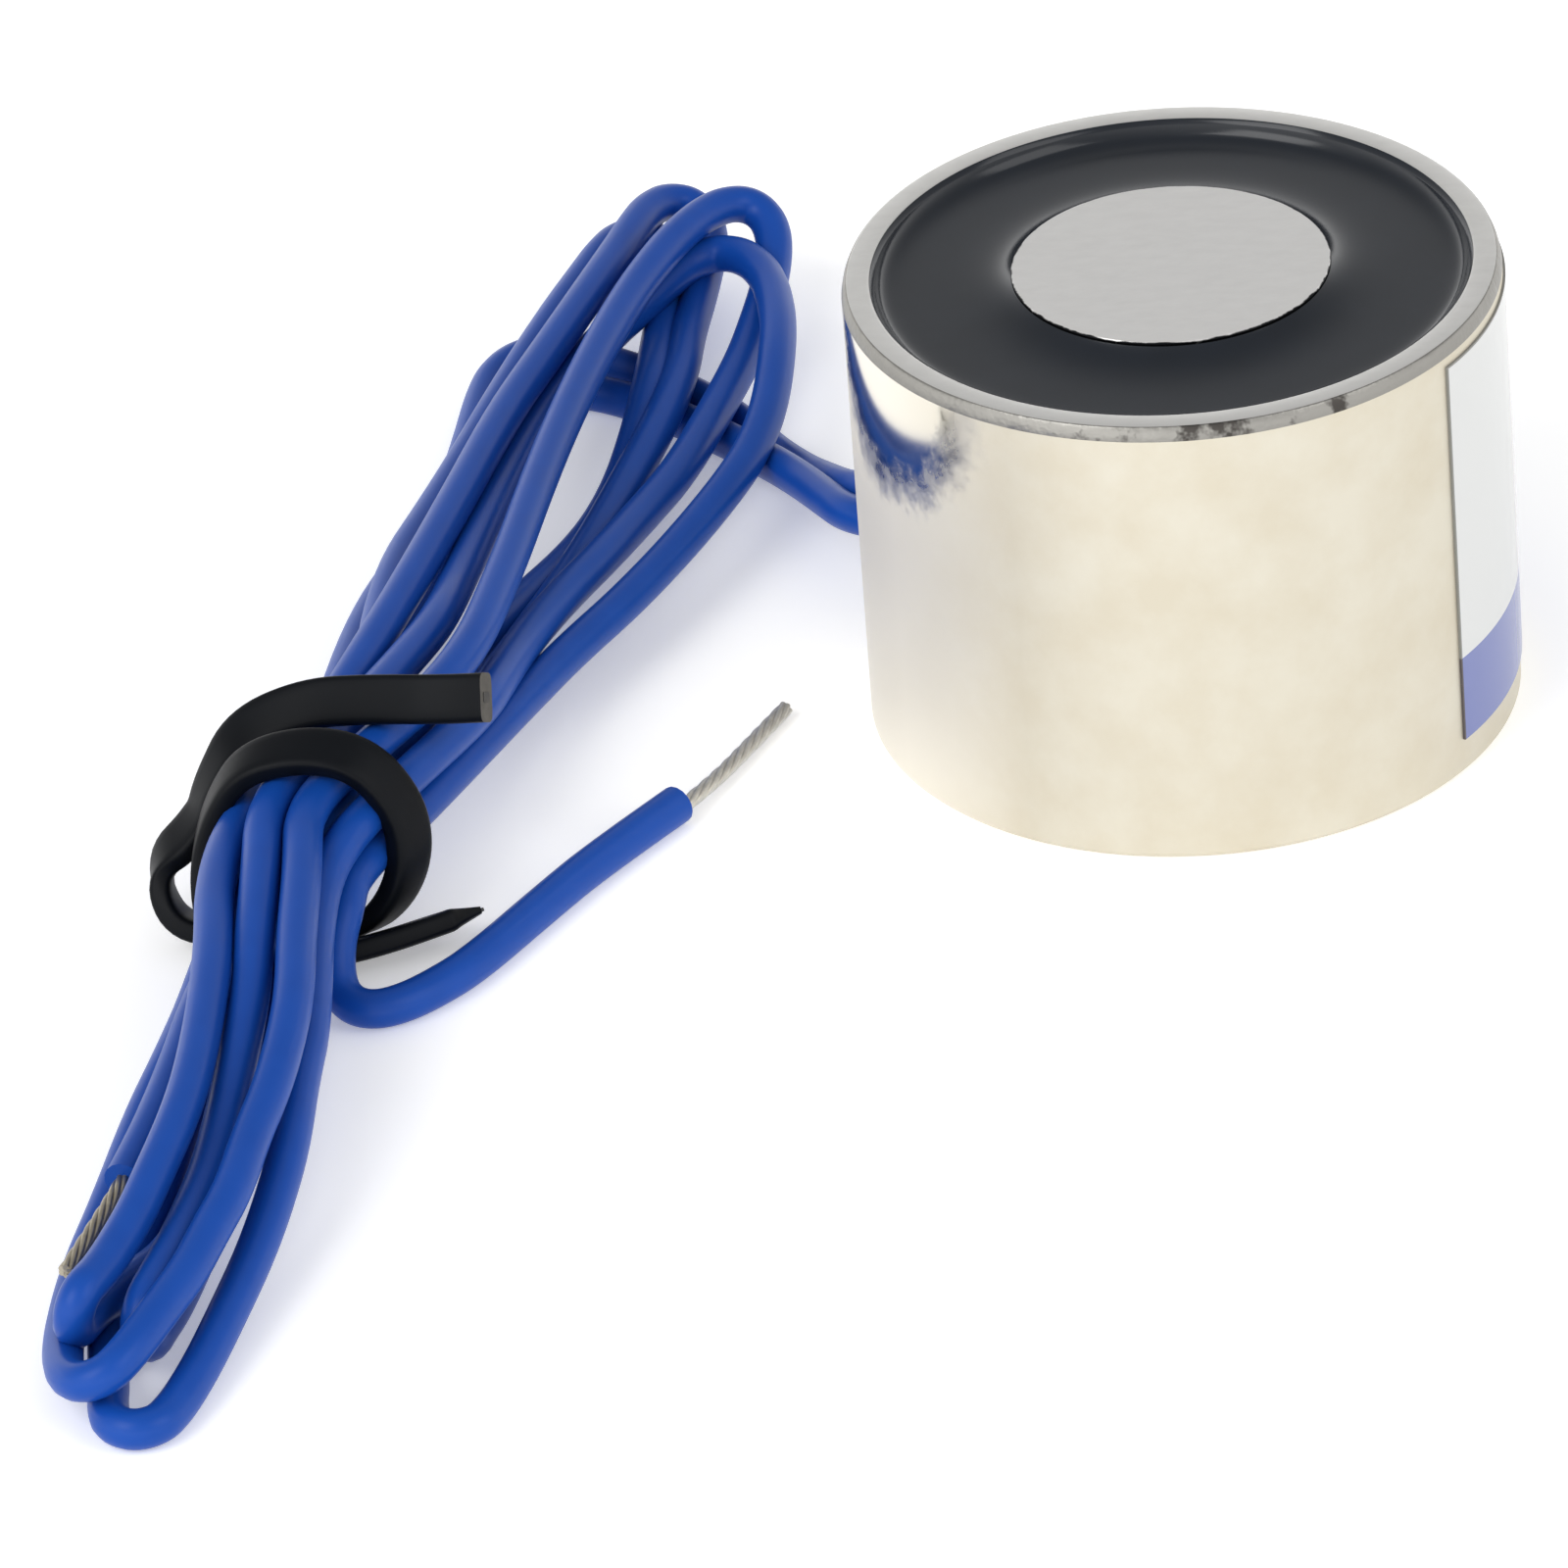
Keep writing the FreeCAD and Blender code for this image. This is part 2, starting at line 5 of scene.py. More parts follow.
import bpy
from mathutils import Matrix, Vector


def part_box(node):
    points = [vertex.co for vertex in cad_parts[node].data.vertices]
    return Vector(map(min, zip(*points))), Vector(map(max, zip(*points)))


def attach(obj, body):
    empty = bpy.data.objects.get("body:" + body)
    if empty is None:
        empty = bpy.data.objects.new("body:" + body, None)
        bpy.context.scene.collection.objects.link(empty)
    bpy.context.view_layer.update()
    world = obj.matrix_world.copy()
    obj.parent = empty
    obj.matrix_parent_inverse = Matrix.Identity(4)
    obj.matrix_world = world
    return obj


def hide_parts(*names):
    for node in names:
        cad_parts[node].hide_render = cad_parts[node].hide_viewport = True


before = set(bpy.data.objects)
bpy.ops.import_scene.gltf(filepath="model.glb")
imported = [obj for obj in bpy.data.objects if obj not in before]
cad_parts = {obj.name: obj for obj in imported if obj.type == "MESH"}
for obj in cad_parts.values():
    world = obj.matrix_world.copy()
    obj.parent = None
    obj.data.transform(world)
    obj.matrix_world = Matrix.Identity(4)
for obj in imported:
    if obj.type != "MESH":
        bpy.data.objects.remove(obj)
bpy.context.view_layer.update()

MM = 0.001

# Camera: a long lens from the front, a little above, leaning slightly to one side
CAMERA_PLACE = (-12.875, -361.871, 217.5)
CAMERA_TURN = (58.651, 3.845, -2.339)
CAMERA_LENS = 315
CAMERA_SENSOR = 36
CAMERA_NEAREST = 0.01
CAMERA_FARTHEST = 20

camera_data = bpy.data.cameras.new("camera")
camera_data.lens = CAMERA_LENS
camera_data.sensor_width = CAMERA_SENSOR
camera_data.clip_start = CAMERA_NEAREST
camera_data.clip_end = CAMERA_FARTHEST
camera = bpy.data.objects.new("camera", camera_data)
camera.location = Vector(CAMERA_PLACE) * MM
camera.rotation_euler = [math.radians(angle) for angle in CAMERA_TURN]
bpy.context.collection.objects.link(camera)
bpy.context.scene.camera = camera

# Sizes in millimetres, from the solids
CUP_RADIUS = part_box("cup")[1].x / MM
CUP_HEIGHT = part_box("cup")[1].z / MM
CORE_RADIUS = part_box("core")[1].x / MM
CORE_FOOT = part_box("bobbin")[0].z / MM
BOBBIN_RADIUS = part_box("bobbin")[1].x / MM
BOBBIN_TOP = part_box("bobbin")[1].z / MM
TAPE_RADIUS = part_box("coil_tape")[1].x / MM
TAPE_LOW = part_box("coil_tape")[0].z / MM
TAPE_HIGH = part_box("coil_tape")[1].z / MM
BORE_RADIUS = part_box("potting_resin")[1].x / MM
RESIN_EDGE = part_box("potting_resin")[1].z / MM
LABEL_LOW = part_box("rating_label")[0].z / MM
LABEL_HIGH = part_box("rating_label")[1].z / MM

# Leads, and where they leave the wall
LEAD_DIAMETER = 1.2
LEAD_EXIT_RADIUS = CUP_RADIUS + 0.5
LEAD_EXIT_ANGLE = math.radians(145)
LEAD_EXIT_HEIGHT = 3.6
EXIT_OUT = Vector((math.cos(LEAD_EXIT_ANGLE), math.sin(LEAD_EXIT_ANGLE), 0))
EXIT_ACROSS = Vector((-EXIT_OUT.y, EXIT_OUT.x, 0))

# Bare ends: strands round a middle one, a little swollen by their tin, and the length of one turn
CONDUCTOR_DIAMETER = 0.5
STRANDS_ROUND = 6
STRANDS_ACROSS = 3
STRAND_SWELL = 1.15
STRAND_LAY = 4

# Fineness: steps between a line's points and round a cord, and steps and merging distance on turned pieces
LINE_STEPS = 8
LINE_ROUNDING = 6
TURN_STEPS = 256
MERGE_WITHIN = 1e-7

# Degrees that an edge turns by: it is shaded smooth below the first and bevelled above the second
SMOOTH_BELOW = 30
BEVEL_ABOVE = 25

# Lead A, fold by fold, from the wall of the cup to the end of its insulation
LEAD_A_FOLDS = [
    # out of the wall and down to the floor
    [(-8.25, 4.95, 3.6), (-9.5, 5.75, 3.55), (-10.3, 6.75, 3.3), (-10.8, 8.2, 2.95), (-11.4, 9.95, 2.55),
     (-12.15, 12.05, 2.0), (-13.05, 14.6, 1.2), (-14.6, 17.4, 0.65)],
    # round to the hank
    [(-17.1, 19.85, 0.6), (-18.9, 20.7, 0.6), (-20.25, 19.9, 0.6), (-21.05, 17.65, 0.6),
     (-21.6, 14.5, 0.65), (-22.7, 9.3, 0.7), (-25.6, 1.5, 0.85)],
    # near loop, left of the others
    [(-28.75, -19.15, 0.6), (-30.6, -25.3, 0.6), (-31.7, -28.5, 0.75), (-32.5, -30.3, 1.25),
     (-33.55, -32.1, 1.65), (-33.95, -32.85, 1.75), (-34.25, -33.6, 1.8), (-34.35, -34.0, 2.2),
     (-34.25, -34.05, 2.8), (-34.0, -33.7, 3.2), (-33.6, -33.0, 3.2), (-33.2, -32.2, 3.25),
     (-32.45, -30.5, 3.5), (-31.9, -28.9, 3.8), (-31.2, -26.75, 4.1), (-30.7, -24.6, 4.3),
     (-30.3, -21.6, 4.5), (-30.0, -18.0, 4.65), (-30.0, -14.2, 4.5)],
    # far loop, the longest
    [(-24.75, 0.1, 4.35), (-22.6, 7.15, 4.1), (-20.75, 13.75, 3.8), (-19.4, 17.5, 3.6),
     (-17.8, 21.95, 3.4), (-16.9, 24.6, 3.2), (-16.3, 26.4, 3.1), (-15.85, 27.6, 3.0),
     (-15.3, 28.45, 2.85), (-14.55, 28.75, 2.6), (-14.0, 28.3, 2.3), (-13.85, 27.35, 2.0),
     (-14.05, 26.0, 1.75), (-14.4, 24.0, 1.6), (-14.85, 21.35, 1.75), (-15.15, 18.5, 1.9),
     (-16.0, 15.2, 1.95), (-17.3, 11.4, 1.85), (-18.6, 7.4, 1.9), (-20.3, 3.3, 1.9)],
    # near loop, inside the first
    [(-28.4, -20.4, 1.5), (-29.75, -24.9, 1.25), (-30.7, -28.4, 1.1), (-31.3, -30.5, 0.95),
     (-31.7, -31.75, 0.9), (-32.0, -32.5, 0.9), (-32.25, -33.25, 0.9), (-32.45, -33.7, 1.35),
     (-32.45, -33.7, 1.95), (-32.25, -33.25, 2.4), (-32.0, -32.5, 2.45), (-31.7, -31.75, 2.5),
     (-31.35, -30.6, 2.5), (-30.95, -29.3, 2.55), (-30.3, -27.0, 2.7), (-29.65, -23.95, 3.35),
     (-28.95, -20.0, 4.15), (-28.85, -18.05, 4.5), (-28.6, -14.8, 4.85)],
    # far loop on the magnet's side
    [(-23.55, -0.8, 4.3), (-22.85, 1.6, 4.0), (-22.4, 4.25, 3.5), (-20.7, 12.0, 2.75), (-19.3, 17.1, 2.4),
     (-17.4, 20.7, 2.4), (-16.2, 22.45, 2.45), (-15.35, 23.7, 2.55), (-14.6, 24.6, 2.65),
     (-13.75, 24.95, 2.75), (-13.0, 24.55, 2.85), (-12.45, 23.6, 2.95), (-12.1, 22.4, 3.0),
     (-11.95, 20.9, 3.1), (-11.9, 19.0, 3.2), (-12.05, 16.95, 3.2), (-12.3, 15.0, 3.0),
     (-12.7, 13.2, 2.8), (-13.4, 11.2, 2.6), (-15.2, 7.85, 2.3), (-17.2, 4.4, 2.2), (-19.05, 1.6, 2.2),
     (-20.45, -1.0, 2.3)],
    # tail, bent out of the hank and laid on the floor
    [(-26.25, -13.2, 2.6), (-26.55, -13.9, 2.0), (-26.65, -14.5, 1.35), (-26.55, -15.05, 0.85),
     (-26.15, -15.6, 0.65), (-25.5, -15.8, 0.6), (-24.7, -15.55, 0.6), (-23.8, -14.9, 0.6),
     (-22.55, -13.7, 0.6), (-20.3, -10.5, 0.6), (-18.65, -8.25, 0.6), (-16.15, -5.4, 0.6)],
]
TIP_A_ROUTE = [(-16.4, -6.05, 0.58), (-15.1, -4.2, 0.45), (-13.75, -1.75, 0.35), (-12.65, 0.2, 0.32)]

# Lead B, fold by fold
LEAD_B_FOLDS = [
    # out of the wall and down to the floor
    [(-7.5, 6.05, 3.6), (-8.8, 7.0, 3.6), (-9.7, 8.1, 3.25), (-10.3, 9.7, 2.5), (-10.8, 11.75, 1.6),
     (-11.4, 13.65, 0.85), (-12.4, 15.6, 0.6), (-13.6, 18.2, 0.6)],
    # round to the hank
    [(-15.95, 20.95, 0.6), (-18.55, 22.95, 0.6), (-20.0, 23.15, 0.6), (-21.05, 22.1, 0.6),
     (-21.55, 20.25, 0.6), (-21.9, 17.95, 0.7), (-22.4, 15.1, 0.75), (-23.7, 11.3, 0.75),
     (-25.8, 5.15, 1.2)],
    # near loop, outermost
    [(-30.65, -16.3, 1.85), (-31.45, -19.5, 1.85), (-32.4, -22.25, 1.5), (-33.4, -26.1, 1.1),
     (-34.05, -28.15, 0.8), (-34.45, -29.8, 0.65), (-34.7, -31.8, 0.75), (-34.75, -33.5, 1.05),
     (-34.7, -34.75, 1.3), (-34.5, -35.75, 1.55), (-34.05, -36.4, 1.8), (-33.4, -36.45, 2.05),
     (-32.85, -35.95, 2.3), (-32.3, -35.1, 2.5), (-31.7, -34.05, 2.7), (-30.95, -32.7, 2.9),
     (-30.3, -31.1, 3.2), (-29.6, -29.5, 3.5), (-29.05, -27.25, 3.8), (-28.45, -25.4, 4.1),
     (-28.0, -23.45, 4.4), (-27.65, -21.2, 4.7), (-27.55, -18.35, 4.9), (-27.3, -14.6, 5.1)],
    # far loop on top
    [(-22.35, -3.65, 4.95), (-20.85, 2.65, 4.7), (-19.95, 7.25, 4.5), (-19.05, 11.5, 4.3),
     (-17.9, 16.1, 4.1), (-16.6, 20.35, 3.95), (-15.5, 23.05, 3.9), (-14.75, 24.55, 3.85),
     (-14.05, 25.7, 3.75), (-13.3, 26.5, 3.65), (-12.55, 26.75, 3.45), (-12.0, 26.35, 3.15),
     (-11.8, 25.5, 2.8), (-11.9, 24.5, 2.45), (-12.15, 23.3, 2.1), (-12.75, 20.9, 1.85),
     (-13.2, 19.1, 1.85), (-14.05, 16.35, 1.9), (-15.35, 12.4, 2.0), (-16.7, 9.4, 2.2),
     (-17.95, 6.55, 2.5), (-19.3, 3.9, 2.7), (-20.6, 0.7, 3.0), (-21.3, -1.9, 3.4), (-21.95, -4.4, 3.8)],
    # near loop on the floor, open at its end
    [(-27.05, -14.6, 3.85), (-27.25, -20.7, 3.3), (-27.65, -23.0, 3.0), (-28.0, -25.95, 2.6),
     (-28.5, -28.0, 2.1), (-29.15, -30.15, 1.6), (-30.05, -32.6, 1.15), (-30.7, -34.3, 0.85),
     (-31.2, -35.5, 0.7), (-31.6, -36.3, 0.6), (-32.05, -37.05, 0.6), (-32.8, -37.25, 0.6),
     (-33.4, -36.75, 0.6), (-33.5, -35.9, 0.6), (-33.45, -34.8, 0.6), (-33.5, -33.2, 0.6),
     (-33.45, -30.8, 0.6), (-31.9, -24.9, 0.65), (-30.85, -19.2, 0.6)],
    # far loop, low down
    [(-25.3, -3.2, 3.6), (-24.75, 5.55, 2.75), (-22.75, 11.85, 2.15), (-20.5, 18.9, 2.0),
     (-18.9, 23.3, 1.95), (-18.0, 25.55, 1.9), (-17.45, 26.9, 1.9), (-16.95, 27.85, 1.85),
     (-16.3, 28.4, 1.75), (-15.65, 28.25, 1.6), (-15.25, 27.5, 1.5), (-15.15, 26.4, 1.4),
     (-15.3, 24.85, 1.4), (-15.6, 22.85, 1.5), (-16.0, 18.9, 1.9), (-16.6, 15.8, 1.5),
     (-17.35, 13.2, 0.95), (-18.55, 10.0, 0.85), (-20.8, 5.25, 1.6), (-22.5, 1.4, 2.2),
     (-24.5, -4.0, 2.6)],
    # free end, on top of the near loops
    [(-30.55, -18.45, 3.0), (-31.3, -21.9, 2.85), (-32.2, -25.4, 2.75), (-32.85, -27.3, 2.65)],
]
TIP_B_ROUTE = [(-32.65, -26.7, 2.68), (-33.15, -28.1, 2.6), (-33.8, -29.7, 2.5), (-34.55, -31.4, 2.35)]

# The hank's waist, where the leads pass through the tie: its middle, the ways along it and to its right,
# how far along it a pass reaches at its near and far ends, and how far it fans out at the far one
WAIST_MIDDLE = Vector((-27.1, -10.8, 3.35))
WAIST_ALONG = Vector((0.42, 0.9075, 0))
WAIST_RIGHT = Vector((0.9075, -0.42, 0))
WAIST_NEAR = -0.6
WAIST_FAR = 2.8
WAIST_FAN = 0.4
# Each pass of a lead through the tie, right of and above the middle; the first runs towards the near loops
LEAD_A_PASSES = [(-0.85, -0.95), (-2.15, 0.95), (0.45, -0.85), (-1.15, 1.75), (1.5, -0.3)]
LEAD_B_PASSES = [(-2.0, -0.55), (0.1, 1.75), (1.35, 0.95), (0.2, 0.45), (-1.0, 0.4)]

# Twist tie: a flat strip with round corners on a wire that shows at both ends
TIE_WIDTH = 1.5
TIE_THICKNESS = 0.7
TIE_CORNERS = 20
TIE_SQUARENESS = 0.4
TIE_SMOOTH_BELOW = 50
TIE_WIRE = 0.35
WIRE_CORNERS = 12
WIRE_SHOWS_ABOVE = 0.02
WIRE_SHOWS_BELOW = 0.1
# Its route, along, right of and above the waist's middle
TIE_ROUTE = [
    # free end above the hank, then over the top and down the left side, standing off it
    (4.4, 4.05, 3.4), (4.45, 2.6, 3.05), (3.9, 0.6, 3.05), (3.2, -1.4, 3.0), (2.2, -3.2, 2.25),
    (1.0, -3.75, 0.95), (0.3, -3.9, 0.0), (-0.6, -5.05, -1.2), (-1.6, -4.1, -2.5),
    # under the hank and up its right side
    (-1.1, -2.4, -2.75), (-0.3, -0.3, -2.75), (0.3, 1.4, -2.7), (0.7, 2.35, -1.7), (1.1, 2.75, -0.3),
    (1.2, 2.5, 1.3),
    # over the top again, down the left side and under
    (1.0, 1.4, 2.8), (0.6, -0.3, 3.1), (0.0, -2.1, 2.6), (-0.4, -3.0, 1.1), (-0.8, -3.4, -0.6),
    (-1.6, -2.9, -2.2), (-2.3, -1.5, -2.65), (-2.2, 0.1, -2.65),
    # free end just above the floor, torn to a narrow tip
    (-1.3, 1.6, -2.6), (-0.4, 2.6, -2.55), (0.6, 3.5, -2.5), (1.2, 4.1, -2.45), (1.6, 4.6, -2.35),
]
# Its torn lower end: the share of its length that narrows, and the share of its width left at the tip
TIE_TORN_SHARE = 0.035
TIE_TORN_WIDTH = 0.3
# Degrees that its broad side leans towards the near loops, at its upper end, round the waist and at its
# lower end, the share of its length in which an end's lean fades, and the power that eases the upper one
TIE_LEANS = (60, 20, 32)
LEAN_SHARE = 0.3
LEAN_EASE = 0.7


def smooth_line(name, route, radius):
    """A round cord on one smooth line, with the route's points, in millimetres, as its control points."""
    data = bpy.data.curves.new(name, "CURVE")
    data.dimensions = "3D"
    spline = data.splines.new("NURBS")
    spline.points.add(len(route) - 1)
    for point, place in zip(spline.points, route):
        point.co = (*(Vector(place) * MM), 1)
    spline.order_u = 3
    spline.use_endpoint_u = True
    spline.resolution_u = LINE_STEPS
    data.bevel_depth = radius * MM
    data.bevel_resolution = LINE_ROUNDING
    data.use_fill_caps = True
    cord = bpy.data.objects.new(name, data)
    bpy.context.collection.objects.link(cord)
    return cord


def points_along(route):
    """Points read from the smooth line through a route, in millimetres."""
    line = smooth_line("line", route, 0)
    mesh = bpy.data.meshes.new_from_object(line)
    points = [vertex.co / MM for vertex in mesh.vertices]
    data = line.data
    bpy.data.objects.remove(line)
    bpy.data.curves.remove(data)
    bpy.data.meshes.remove(mesh)
    return points


def directions(points):
    """The direction of travel at each of the points."""
    last = len(points) - 1
    return [(points[min(i + 1, last)] - points[max(i - 1, 0)]).normalized() for i in range(last + 1)]


def only(*objects):
    """Select these objects alone, the last one active."""
    bpy.ops.object.select_all(action="DESELECT")
    for item in objects:
        item.select_set(True)
        bpy.context.view_layer.objects.active = item


def apply_modifier(piece, kind, **settings):
    """Add a modifier with its settings and apply it."""
    only(piece)
    modifier = piece.modifiers.new(kind.lower(), kind)
    for setting, value in settings.items():
        setattr(modifier, setting, value)
    bpy.ops.object.modifier_apply(modifier=modifier.name)


def shade_smooth(piece, below=SMOOTH_BELOW):
    """Shade a piece smooth, apart from edges that turn by more than this many degrees."""
    only(piece)
    bpy.ops.object.shade_smooth_by_angle(angle=math.radians(below))


def at_exit(side, radius=LEAD_EXIT_RADIUS):
    """A place to one side of the lead hole's middle, at the radius where a lead leaves or at another."""
    return (EXIT_OUT * radius + EXIT_ACROSS * side + Vector((0, 0, LEAD_EXIT_HEIGHT))) * MM


def waist_place(along, right, above):
    """A place by the tie, from its distances along, right of and above the waist's middle."""
    return WAIST_MIDDLE + WAIST_ALONG * along + WAIST_RIGHT * right + Vector((0, 0, above))


def lead_route(folds, passes):
    """A lead's whole route: its way to the hank, then its loops with a pass through the tie before each."""
    route = folds[0] + folds[1]
    for number, (fold, (right, above)) in enumerate(zip(folds[2:], passes)):
        near = waist_place(WAIST_NEAR, right, above)
        far = waist_place(WAIST_FAR, right + WAIST_FAN, above)
        route += [near, far] if number % 2 else [far, near]
        route += fold
    return route


# Leads
lead_a = smooth_line("lead_a", lead_route(LEAD_A_FOLDS, LEAD_A_PASSES), LEAD_DIAMETER / 2)
lead_b = smooth_line("lead_b", lead_route(LEAD_B_FOLDS, LEAD_B_PASSES), LEAD_DIAMETER / 2)


def stripped_end(name, route):
    """A bare end: tinned strands laid round a middle one."""
    middle = points_along(route)
    ahead = directions(middle)
    strand_radius = CONDUCTOR_DIAMETER / STRANDS_ACROSS / 2 * STRAND_SWELL
    turn_radius = CONDUCTOR_DIAMETER / 2 - strand_radius
    strands = [smooth_line(name, middle, strand_radius)]
    for number in range(STRANDS_ROUND):
        travelled = 0
        strand_route = []
        for i, (point, along) in enumerate(zip(middle, ahead)):
            if i:
                travelled += (point - middle[i - 1]).length
            turn = math.tau * (number / STRANDS_ROUND + travelled / STRAND_LAY)
            side = along.cross(Vector((0, 0, 1))).normalized()
            up = side.cross(along)
            strand_route.append(point + (side * math.cos(turn) + up * math.sin(turn)) * turn_radius)
        strands.append(smooth_line(name, strand_route, strand_radius))
    only(*strands)
    bpy.ops.object.convert(target="MESH")
    bpy.ops.object.join()
    bundle = bpy.context.object
    bundle.name = name
    bpy.ops.object.shade_smooth()
    return bundle


tip_a = stripped_end("lead_a_bare_end", TIP_A_ROUTE)
tip_b = stripped_end("lead_b_bare_end", TIP_B_ROUTE)


def lean_at(part):
    """The tie's lean, in degrees, at a share of the way along it."""
    first, waist, last = TIE_LEANS
    lean = waist + (first - waist) * max(0, 1 - part / LEAN_SHARE) ** LEAN_EASE
    return lean + (last - waist) * max(0, 1 - (1 - part) / LEAN_SHARE)


def width_left(part):
    """The share of the tie's width at a share of the way along it: its lower end is torn narrow."""
    return 1 - (1 - TIE_TORN_WIDTH) * max(0, 1 - (1 - part) / TIE_TORN_SHARE)


def squared(wave):
    """A sine or cosine pushed out towards a square with round corners."""
    return math.copysign(abs(wave) ** TIE_SQUARENESS, wave)


def strip_along(name, route, width, thickness, corners):
    """A flat strip that lies round the waist of the hank, leaning as it goes."""
    middle = points_along(route)
    vertices = []
    for number, (point, along) in enumerate(zip(middle, directions(middle))):
        part = number / (len(middle) - 1)
        lean = math.radians(lean_at(part))
        flat = (WAIST_ALONG - along * WAIST_ALONG.dot(along)).normalized()
        across = flat * math.cos(lean) + flat.cross(along) * math.sin(lean)
        out = across.cross(along)
        for corner in range(corners):
            turn = math.tau * (corner + 0.5) / corners
            broad = squared(math.cos(turn)) * width / 2 * width_left(part)
            thin = squared(math.sin(turn)) * thickness / 2 * width_left(part)
            vertices.append((point + across * broad + out * thin) * MM)
    faces = []
    for start in range(0, len(vertices) - corners, corners):
        for corner in range(corners):
            here = start + corner
            following = start + (corner + 1) % corners
            faces.append((here, following, following + corners, here + corners))
    faces.append(tuple(range(corners)))
    faces.append(tuple(range(len(vertices) - corners, len(vertices))))
    mesh = bpy.data.meshes.new(name)
    mesh.from_pydata(vertices, [], faces)
    strip = bpy.data.objects.new(name, mesh)
    bpy.context.collection.objects.link(strip)
    only(strip)
    bpy.ops.object.mode_set(mode="EDIT")
    bpy.ops.mesh.select_all(action="SELECT")
    bpy.ops.mesh.normals_make_consistent(inside=False)
    bpy.ops.object.mode_set(mode="OBJECT")
    shade_smooth(strip, TIE_SMOOTH_BELOW)
    return strip


tie_line = [waist_place(*place) for place in TIE_ROUTE]
tie_strip = strip_along("twist_tie_strip", tie_line, TIE_WIDTH, TIE_THICKNESS, TIE_CORNERS)
upper_way = (tie_line[0] - tie_line[1]).normalized()
lower_way = (tie_line[-1] - tie_line[-2]).normalized()
wire_line = tie_line.copy()
wire_line[0] = tie_line[0] + upper_way * WIRE_SHOWS_ABOVE
wire_line[-1] = tie_line[-1] + lower_way * WIRE_SHOWS_BELOW
tie_wire = strip_along("twist_tie_core_wire", wire_line, TIE_WIRE, TIE_WIRE, WIRE_CORNERS)


def turned(name, outline, start=0.0, sweep=math.tau, steps=TURN_STEPS):
    """A turned piece: an outline of radius and height, in millimetres, spun about the magnet's axis."""
    bpy.ops.object.select_all(action="DESELECT")
    bpy.ops.mesh.primitive_plane_add(size=MM)
    piece = bpy.context.object
    piece.name = name
    bpy.ops.object.mode_set(mode="EDIT")
    bpy.ops.mesh.select_all(action="SELECT")
    bpy.ops.mesh.merge(type="CENTER")
    here = Vector((0, 0, 0))
    for number, (radius, height) in enumerate(outline):
        place = Vector((radius * math.cos(start), radius * math.sin(start), height)) * MM
        if number:
            bpy.ops.mesh.extrude_vertices_move(TRANSFORM_OT_translate={"value": place - here})
        else:
            bpy.ops.transform.translate(value=place)
        here = place
    bpy.ops.mesh.select_all(action="SELECT")
    bpy.ops.mesh.remove_doubles(threshold=MERGE_WITHIN)
    if sweep < math.tau:
        bpy.ops.mesh.edge_face_add()
    bpy.ops.mesh.spin(steps=steps, angle=sweep, center=(0, 0, 0), axis=(0, 0, -1))
    bpy.ops.mesh.select_all(action="SELECT")
    bpy.ops.mesh.remove_doubles(threshold=MERGE_WITHIN)
    bpy.ops.mesh.normals_make_consistent(inside=False)
    bpy.ops.object.mode_set(mode="OBJECT")
    return piece


# Cup: foot chamfer, plain wall, worn edge, ground rim and a bore for the core's foot
FOOT_CHAMFER = 0.18
WORN_EDGE_DEPTH = 0.45
WORN_EDGE_WIDTH = 0.14
RIM_BEVEL = 0.15
SPIGOT_RADIUS = 3.0
EDGE_ROUND = 0.06
EDGE_SEGMENTS = 3

cup = turned("cup_shell", [
    (SPIGOT_RADIUS, 0), (CUP_RADIUS - FOOT_CHAMFER, 0), (CUP_RADIUS, FOOT_CHAMFER),
    (CUP_RADIUS, CUP_HEIGHT - WORN_EDGE_DEPTH),
    (CUP_RADIUS - WORN_EDGE_WIDTH / 3, CUP_HEIGHT - WORN_EDGE_DEPTH / 2),
    (CUP_RADIUS - WORN_EDGE_WIDTH, CUP_HEIGHT),
    (BORE_RADIUS + RIM_BEVEL, CUP_HEIGHT), (BORE_RADIUS, CUP_HEIGHT - RIM_BEVEL),
    (BORE_RADIUS, CORE_FOOT), (SPIGOT_RADIUS, CORE_FOOT), (SPIGOT_RADIUS, 0)])
apply_modifier(cup, "BEVEL", width=EDGE_ROUND * MM, segments=EDGE_SEGMENTS, limit_method="ANGLE",
               angle_limit=math.radians(BEVEL_ABOVE), use_clamp_overlap=True)
shade_smooth(cup)

# The lead hole, drilled through the wall
HOLE_RADIUS = 1.4
DRILL_LENGTH = 4
DRILL_SIDES = 48

bpy.ops.object.select_all(action="DESELECT")
bpy.ops.mesh.primitive_cylinder_add(
    vertices=DRILL_SIDES, radius=HOLE_RADIUS * MM, depth=DRILL_LENGTH * MM,
    location=at_exit(0, (CUP_RADIUS + BORE_RADIUS) / 2), rotation=(0, math.pi / 2, LEAD_EXIT_ANGLE))
drill = bpy.context.object
apply_modifier(cup, "BOOLEAN", object=drill, operation="DIFFERENCE", solver="EXACT")
bpy.data.objects.remove(drill)

# Core: flush pole face, and an M3 thread in its foot
CORE_CHAMFER = 0.04
THREAD_RADIUS = 1.5
THREAD_GROOVE = 0.27
THREAD_PITCH = 0.5
THREAD_DEPTH = 6.0
DRILL_POINT = 0.9
MOUTH_CHAMFER = 0.3

